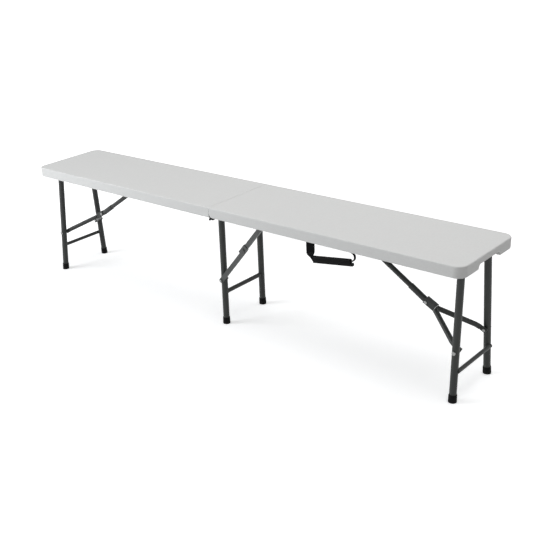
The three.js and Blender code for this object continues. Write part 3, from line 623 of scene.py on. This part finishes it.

# %% [markdown]
# ## The bright edge of each yoke, a painted highlight
# The yoke is a folded channel. Its cut end is bare, and a thin band of light bare metal round the nose,
# where the arms come out, also stands in for the highlight along the nose's edge: a painted highlight. A
# square loop of edges is cut to the channel's section, its corners are rounded, its lower side is left open
# for the stem, and it is drawn out into a narrow band.

# %% Yoke nose bands
JOINT = Vector((0.73024, 0, 0.23842))
FORK_ANGLE = math.radians(28.767)
YOKE_HALF, YOKE_LOW, YOKE_HIGH = 0.0106, -0.0065, 0.0109
BAND_START, BAND_WIDTH, BAND_WALL, BAND_CORNER = 0.0318, 0.0014, 0.0006, 0.0016


def fork_place(sign):
    """Takes (along the fork, across, above it) to the bench."""
    along = Vector((sign * math.cos(FORK_ANGLE), 0, -math.sin(FORK_ANGLE)))
    above = Vector((sign * math.sin(FORK_ANGLE), 0, math.cos(FORK_ANGLE)))
    across = Vector((0, sign, 0))
    turn = Matrix((along, across, above)).transposed().to_4x4()
    return Matrix.Translation((sign * JOINT.x, 0, JOINT.z)) @ turn


for half_name, sign in (("right", 1), ("left", -1)):
    mesh = bmesh.new()
    bmesh.ops.create_grid(mesh, x_segments=1, y_segments=1, size=0.5)
    bmesh.ops.rotate(mesh, verts=mesh.verts, cent=(0, 0, 0), matrix=Matrix.Rotation(math.pi / 2, 3, "Y"))
    bmesh.ops.scale(mesh, verts=mesh.verts,
                    vec=(1, 2 * YOKE_HALF + BAND_WALL, YOKE_HIGH - YOKE_LOW + BAND_WALL))
    bmesh.ops.translate(mesh, verts=mesh.verts, vec=(BAND_START, 0, (YOKE_HIGH + YOKE_LOW) / 2))
    bmesh.ops.bevel(mesh, geom=mesh.verts, offset=BAND_CORNER, offset_type="OFFSET", segments=3,
                    profile=0.5, affect="VERTICES", clamp_overlap=True, material=-1)
    bmesh.ops.delete(mesh, geom=mesh.faces, context="FACES_ONLY")
    below = [v for v in mesh.verts if v.co.z < YOKE_LOW + 0.0012]
    bmesh.ops.delete(mesh, geom=below, context="VERTS")
    made = bmesh.ops.extrude_edge_only(mesh, edges=mesh.edges)
    fresh = [g for g in made["geom"] if isinstance(g, bmesh.types.BMVert)]
    bmesh.ops.translate(mesh, verts=fresh, vec=(BAND_WIDTH, 0, 0))
    bmesh.ops.transform(mesh, verts=mesh.verts, matrix=fork_place(sign))
    nose_highlight = finish_piece(mesh, "yoke_nose_highlight_band_" + half_name, "fork_" + half_name, bare_edge_highlight)
    wall = nose_highlight.modifiers.new("wall", "SOLIDIFY")
    wall.thickness = BAND_WALL
    wall.offset = 0
    print(nose_highlight.name, len(nose_highlight.data.polygons), "faces")

# %% [markdown]
# ## Screws under the seat
# The rails are held by short pan-head screws through their flanges. They show only from below.
# One head is spun, and the head is repeated along both rails.

# %% Rail screws
SCREW_X = (0.095, 0.265, 0.350, 0.560, 0.700, 0.830)
SCREW = [(0, -0.0009), (0.0007, -0.0009), (0.0012, -0.0014), (0.0024, -0.0013), (0.0034, -0.0007),
         (0.0037, 0.0001)]
for half_name, sign in (("right", 1), ("left", -1)):
    mesh = bmesh.new()
    for x in SCREW_X:
        for side in (-1, 1):
            spun_head(mesh, (sign * x, side * 0.126, 0.4277), (0, 0, 1), SCREW, steps=16)
    screws = finish_piece(mesh, "rail_screws_" + half_name, "seat_" + half_name, zinc)
    print(screws.name, len(screws.data.polygons), "faces")

# %% [markdown]
# ## The black plate in the seam: painted shade
# Where the halves meet, a black steel plate covers the end of the left half's rim. It is painted shade: a
# dark sheet put where the gap between the halves lies in shade. It is seen edge on, as the dark line down
# the front of the seam.
# Below it a black strip, painted shade too, hugs the rounded corner of the right half. It is thin where it
# lies in the seam and thicker round the corner.

# %% Seam plates: painted shade
for end_name, side in (("front", -1), ("back", 1)):
    mesh = bmesh.new()
    bmesh.ops.create_grid(mesh, x_segments=1, y_segments=1, size=0.5)
    bmesh.ops.rotate(mesh, verts=mesh.verts, cent=(0, 0, 0), matrix=Matrix.Rotation(math.pi / 2, 3, "Y"))
    bmesh.ops.scale(mesh, verts=mesh.verts, vec=(1, 0.0135, 0.0150))
    bmesh.ops.translate(mesh, verts=mesh.verts, vec=(0, side * 0.1456, 0.4290))
    bmesh.ops.bevel(mesh, geom=mesh.verts, offset=0.003, offset_type="OFFSET", segments=3, profile=0.5,
                    affect="VERTICES", clamp_overlap=True, material=-1)
    shade_plate = finish_piece(mesh, "seam_shade_plate_" + end_name, "seat_left", black_coat)
    wall = shade_plate.modifiers.new("wall", "SOLIDIFY")
    wall.thickness = 0.0007
    wall.offset = 0
    print(shade_plate.name, len(shade_plate.data.polygons), "faces")

# %% Corner strips: painted shade
ROUND_CENTRE, ROUND_RADIUS = Vector((0.0175, 0, 0.4210)), 0.0173
LEFT_FACE, UNDER_FACE, SHADE_STRIP_THICKNESS = 0.0179, 0.0205, 0.0050
SHADE_STRIP_FACE, SHADE_STRIP_WIDTH, SHADE_STRIP_STEPS = 0.1522, 0.0125, 21
# Each strip is a black band of painted shade round the right half's rounded corner, below the seam plate.
for end_name, side in (("front", -1), ("back", 1)):
    mesh = bmesh.new()
    rows = []
    for i in range(SHADE_STRIP_STEPS):
        turn = math.radians(4 * i + 2)
        room = min(LEFT_FACE / math.cos(turn), UNDER_FACE / math.sin(turn)) - ROUND_RADIUS
        thickness = min(SHADE_STRIP_THICKNESS, room)
        rows.append([
            ROUND_CENTRE + Vector((-math.cos(turn) * reach, side * SHADE_STRIP_FACE, -math.sin(turn) * reach))
            for reach in (ROUND_RADIUS, ROUND_RADIUS + thickness)
        ])
    ends = [mesh.verts.new(point) for point in rows[0]]
    edge = mesh.edges.new(ends)
    for row in rows[1:]:
        made = bmesh.ops.extrude_edge_only(mesh, edges=[edge])
        fresh = [g for g in made["geom"] if isinstance(g, bmesh.types.BMVert)]
        edge = next(g for g in made["geom"] if isinstance(g, bmesh.types.BMEdge)
                    and all(v in fresh for v in g.verts))
        fresh.sort(key=lambda v: (v.co - ends[0].co).length)
        for vertex, point in zip(fresh, row):
            vertex.co = point
        ends = fresh
    made = bmesh.ops.extrude_face_region(mesh, geom=list(mesh.faces))
    fresh = [g for g in made["geom"] if isinstance(g, bmesh.types.BMVert)]
    bmesh.ops.translate(mesh, verts=fresh, vec=(0, -side * SHADE_STRIP_WIDTH, 0))
    shade_strip = finish_piece(mesh, "seam_shade_strip_" + end_name, "seat_right", black_coat)
    smooth_corners(shade_strip, 0.0002)
    print(shade_strip.name, len(shade_strip.data.polygons), "faces")

# %% [markdown]
# ## The handle's straps
# The handle hangs on two pieces of woven strap. The left one is wide and flat: it comes down from
# the rail and is folded over towards the grip. The right one comes out of the grip and curls up to
# the rail in a C. Each is drawn row by row: a short row of edges across the strap is extruded along
# it, so the rows also give the UV map, in metres, that the weave runs on. Solidify then gives the
# woven thickness.

# %% Strap helper
def strap(name, body, rows, thickness, across=6, replaced=(), smooth=2):
    """rows: (left point, right point) pairs along the strap."""
    mesh = bmesh.new()
    layer = mesh.loops.layers.uv.new("length_and_width")
    rows = [(Vector(a), Vector(b)) for a, b in rows]
    row = [mesh.verts.new(rows[0][0].lerp(rows[0][1], i / across)) for i in range(across + 1)]
    edges = [mesh.edges.new(pair) for pair in zip(row, row[1:])]
    where = {v: (0.0, i / across * (rows[0][1] - rows[0][0]).length) for i, v in enumerate(row)}
    length = 0.0
    for (a0, b0), (a, b) in zip(rows, rows[1:]):
        length += ((a + b) / 2 - (a0 + b0) / 2).length
        made = bmesh.ops.extrude_edge_only(mesh, edges=edges)
        edges = [g for g in made["geom"] if isinstance(g, bmesh.types.BMEdge)]
        fresh = [g for g in made["geom"] if isinstance(g, bmesh.types.BMVert)]
        fresh.sort(key=lambda v: min(range(across + 1), key=lambda k: (v.co - row[k].co).length))
        for i, v in enumerate(fresh):
            v.co = a.lerp(b, i / across)
            where[v] = (length, i / across * (b - a).length)
        edges = [e for e in edges if all(v in fresh for v in e.verts)]
        row = fresh
    for face in mesh.faces:
        for loop in face.loops:
            loop[layer].uv = where[loop.vert]
    piece = finish_piece(mesh, name, body, webbing, replaced)
    wall = piece.modifiers.new("wall", "SOLIDIFY")
    wall.thickness = thickness
    wall.offset = 0
    rounding = piece.modifiers.new("rounding", "BEVEL")
    rounding.width = min(0.0005, thickness * 0.3)
    rounding.segments = 2
    rounding.limit_method = "ANGLE"
    rounding.angle_limit = math.radians(50)
    print(name, len(piece.data.polygons), "faces,", round(length * 1000), "mm long")
    return piece


def at_front(x, z, y=-0.132):
    return (x, y, z)


# %% Left strap and its anchor
strap("strap_left", "handle", [
    (at_front(0.3845, 0.3983), at_front(0.4155, 0.3983)),
    (at_front(0.3845, 0.3900, -0.1323), at_front(0.4155, 0.3900, -0.1323)),
    (at_front(0.3845, 0.3800, -0.1321), at_front(0.4155, 0.3800, -0.1321)),
    (at_front(0.3845, 0.3700, -0.1318), at_front(0.4153, 0.3725, -0.1320)),
    (at_front(0.3847, 0.3600, -0.1317), at_front(0.4148, 0.3668, -0.1320)),
    (at_front(0.3880, 0.3556, -0.1318), at_front(0.4136, 0.3632, -0.1320)),
    (at_front(0.3940, 0.3520, -0.1320), at_front(0.4118, 0.3600, -0.1320)),
    (at_front(0.4000, 0.3484, -0.1320), at_front(0.4106, 0.3570, -0.1320)),
    (at_front(0.4058, 0.3415, -0.1320), at_front(0.4104, 0.3520, -0.1320)),
    (at_front(0.4100, 0.3352, -0.1320), at_front(0.4104, 0.3460, -0.1320)),
], 0.0020, across=10, replaced=("handle_strap_left",))
strap("strap_left_fold", "handle", [
    (at_front(0.3862, 0.3640, -0.1338), at_front(0.4148, 0.3690, -0.1338)),
    (at_front(0.3868, 0.3592, -0.1340), at_front(0.4140, 0.3640, -0.1340)),
    (at_front(0.3900, 0.3550, -0.1340), at_front(0.4130, 0.3606, -0.1340)),
    (at_front(0.3965, 0.3512, -0.1338), at_front(0.4108, 0.3580, -0.1338)),
    (at_front(0.4016, 0.3470, -0.1334), at_front(0.4104, 0.3545, -0.1334)),
    (at_front(0.4066, 0.3405, -0.1330), at_front(0.4104, 0.3500, -0.1330)),
], 0.0014, across=10)
strap("strap_left_anchor", "seat_right", [
    (at_front(0.3845, 0.4000), at_front(0.4155, 0.4000)),
    (at_front(0.3845, 0.4080), at_front(0.4155, 0.4080)),
    (at_front(0.3845, 0.4150), at_front(0.4155, 0.4150)),
    (at_front(0.3845, 0.4224), at_front(0.4155, 0.4224)),
], 0.0020, across=10, replaced=("strap_anchor_left",))
strap("strap_left_hem", "seat_right", [
    (at_front(0.3848, 0.4132, -0.1344), at_front(0.4152, 0.4132, -0.1344)),
    (at_front(0.3848, 0.4178, -0.1344), at_front(0.4152, 0.4178, -0.1344)),
    (at_front(0.3848, 0.4224, -0.1344), at_front(0.4152, 0.4224, -0.1344)),
], 0.0024, across=10)

# %% Right strap and its anchor
LOOP_CENTRE, LOOP_RADIUS = (0.54753, 0.38401), 0.0140
loop_rows = []
for i in range(15):
    t = -math.pi / 2 + math.pi * i / 14
    x = LOOP_CENTRE[0] + LOOP_RADIUS * math.cos(t)
    z = LOOP_CENTRE[1] + LOOP_RADIUS * math.sin(t)
    loop_rows.append((at_front(x, z, -0.1355), at_front(x, z, -0.1285)))
strap("strap_right", "handle", loop_rows, 0.0036, across=4, replaced=("handle_strap_right",))
strap("strap_right_anchor", "seat_right", [
    (at_front(0.54625, 0.4039, -0.1356), at_front(0.54625, 0.4039, -0.1286)),
    (at_front(0.54625, 0.4100, -0.1356), at_front(0.54625, 0.4100, -0.1286)),
    (at_front(0.54625, 0.4160, -0.1356), at_front(0.54625, 0.4160, -0.1286)),
    (at_front(0.54625, 0.4224, -0.1356), at_front(0.54625, 0.4224, -0.1286)),
], 0.0025, across=4, replaced=("strap_anchor_right",))

# %% [markdown]
# ## Stitches
# Where a strap is folded back it is sewn down with rows of short stitches. One stitch is a small
# flattened bead; rows of them are laid along the hem and across the fold.

# %% Stitches
def stitch_row(mesh, start, end, length=0.0026, gap=0.0011, size=0.00035):
    start, end = Vector(start), Vector(end)
    count = max(1, int((end - start).length / (length + gap)))
    step = (end - start) / count
    for i in range(count):
        a = start + step * (i + 0.15)
        b = start + step * (i + 0.85)
        swept_tube(mesh, [a, a.lerp(b, 0.5), b], [size * 0.6, size, size * 0.6], sides=5)


mesh = bmesh.new()
stitch_row(mesh, at_front(0.3875, 0.3655, -0.1348), at_front(0.4135, 0.3667, -0.1348))
stitch_row(mesh, at_front(0.3892, 0.3590, -0.1350), at_front(0.4128, 0.3632, -0.1350))
finish_piece(mesh, "strap_stitches", "handle", thread)
mesh = bmesh.new()
for z in (0.4146, 0.4210):
    stitch_row(mesh, at_front(0.3865, z, -0.1358), at_front(0.4135, z, -0.1358))
finish_piece(mesh, "hem_stitches", "seat_right", thread)
print("stitches laid")

# %% [markdown]
# ## Ribs on the grip
# The grip is a moulded sleeve. Two low ribs run along each face of it and catch the light as thin
# lines. Each rib is a slim bead swept from end to end, tilted with the grip.

# %% Grip ribs
GRIP_START, GRIP_TILT, GRIP_LENGTH = Vector((0.412, -0.132, 0.3475)), math.radians(8.4), 0.137
grip_along = Vector((math.cos(GRIP_TILT), 0, math.sin(GRIP_TILT)))
grip_up = Vector((-math.sin(GRIP_TILT), 0, math.cos(GRIP_TILT)))
mesh = bmesh.new()
for side in (-1, 1):
    for height in (-0.0028, 0.0026):
        line = [GRIP_START + grip_along * (0.004 + (GRIP_LENGTH - 0.008) * i / 12) + grip_up * height
                + Vector((0, side * 0.0059, 0)) for i in range(13)]
        swept_tube(mesh, line, [0.0004] + [0.0010] * 11 + [0.0004], sides=8)
ribs = finish_piece(mesh, "grip_ribs", "handle", grip_plastic)
print(ribs.name, len(ribs.data.polygons), "faces")

# %% [markdown]
# ## The floor, the backdrop and the light
# The bench stands on a plain white floor under soft studio light. The floor and the world look
# white to the camera and in reflections, while the light they give the bench stays modest. The
# floor's own glow grows with distance, so the shadow shows and the far floor stays white. From below
# the floor is clear, so that the underside of the bench can be looked at. A large
# lamp from the front left makes the front edge brighter at its left end, as in the photograph.

# %% Stage
world = bpy.data.worlds.new("studio")
bpy.context.scene.world = world
world.use_nodes = True
tree = world.node_tree
background = tree.nodes["Background"]
seen_white = add(tree, "ShaderNodeBackground", Color=(1, 1, 1, 1), Strength=1.0)
background.inputs["Color"].default_value = (0.98, 0.99, 1.0, 1)
background.inputs["Strength"].default_value = 0.26
path = tree.nodes.new("ShaderNodeLightPath")
seen = sums(tree, "MAXIMUM", path.outputs["Is Camera Ray"],
            sums(tree, "MAXIMUM", path.outputs["Is Glossy Ray"], path.outputs["Is Transmission Ray"]))
choose = tree.nodes.new("ShaderNodeMixShader")
join(tree, seen, choose.inputs[0])
join(tree, background.outputs[0], choose.inputs[1])
join(tree, seen_white.outputs[0], choose.inputs[2])
join(tree, choose.outputs[0], tree.nodes["World Output"].inputs["Surface"])

floor_mesh = bmesh.new()
bmesh.ops.create_circle(floor_mesh, cap_ends=True, segments=96, radius=14)
floor_data = bpy.data.meshes.new("floor")
floor_mesh.to_mesh(floor_data)
floor_mesh.free()
floor = bpy.data.objects.new("floor", floor_data)
floor_data.transform(Matrix.Translation((0, 0, -0.0005)))
bpy.context.scene.collection.objects.link(floor)

floor_finish, tree, shader, place = start_finish("floor")
shader.inputs["Roughness"].default_value = 0.95
shader.inputs["Specular IOR Level"].default_value = 0.0
path = tree.nodes.new("ShaderNodeLightPath")
seen = sums(tree, "MAXIMUM", path.outputs["Is Camera Ray"],
            sums(tree, "MAXIMUM", path.outputs["Is Glossy Ray"], path.outputs["Is Transmission Ray"]))
join(tree, blend_colour(tree, seen, (0.62, 0.62, 0.62), (0.99, 0.99, 0.99)), shader.inputs["Base Color"])
shader.inputs["Emission Color"].default_value = (1, 1, 1, 1)
from_bench = tree.nodes.new("ShaderNodeVectorMath")
from_bench.operation = "LENGTH"
join(tree, place, from_bench.inputs[0])
glow = spread(tree, from_bench.outputs["Value"], 0.9, 2.4, 0.45, 1.0)
join(tree, sums(tree, "MULTIPLY", seen, glow), shader.inputs["Emission Strength"])
under = tree.nodes.new("ShaderNodeNewGeometry")
see_through = tree.nodes.new("ShaderNodeBsdfTransparent")
one_sided = tree.nodes.new("ShaderNodeMixShader")
join(tree, under.outputs["Backfacing"], one_sided.inputs[0])
join(tree, shader.outputs[0], one_sided.inputs[1])
join(tree, see_through.outputs[0], one_sided.inputs[2])
join(tree, one_sided.outputs[0], tree.nodes["Material Output"].inputs["Surface"])
floor_data.materials.append(floor_finish)


def softbox(name, place, aim, size, watts, colour=(1, 1, 1)):
    lamp = bpy.data.lights.new(name, "AREA")
    lamp.shape = "RECTANGLE"
    lamp.size, lamp.size_y = size
    lamp.energy = watts
    lamp.color = colour
    holder = bpy.data.objects.new(name, lamp)
    bpy.context.scene.collection.objects.link(holder)
    holder.location = place
    holder.rotation_euler = (Vector(aim) - Vector(place)).to_track_quat("-Z", "Y").to_euler()
    return holder


softbox("overhead", (0.7, 0.2, 3.2), (0.3, 0, 0.4), (3.4, 2.4), 51)
softbox("front_left", (-2.4, -2.4, 1.4), (-0.4, 0, 0.35), (1.8, 1.6), 72, (0.95, 0.975, 1.0))
softbox("front_right", (2.6, -1.9, 1.6), (0.6, 0, 0.3), (1.2, 1.2), 3)
print("stage is set")
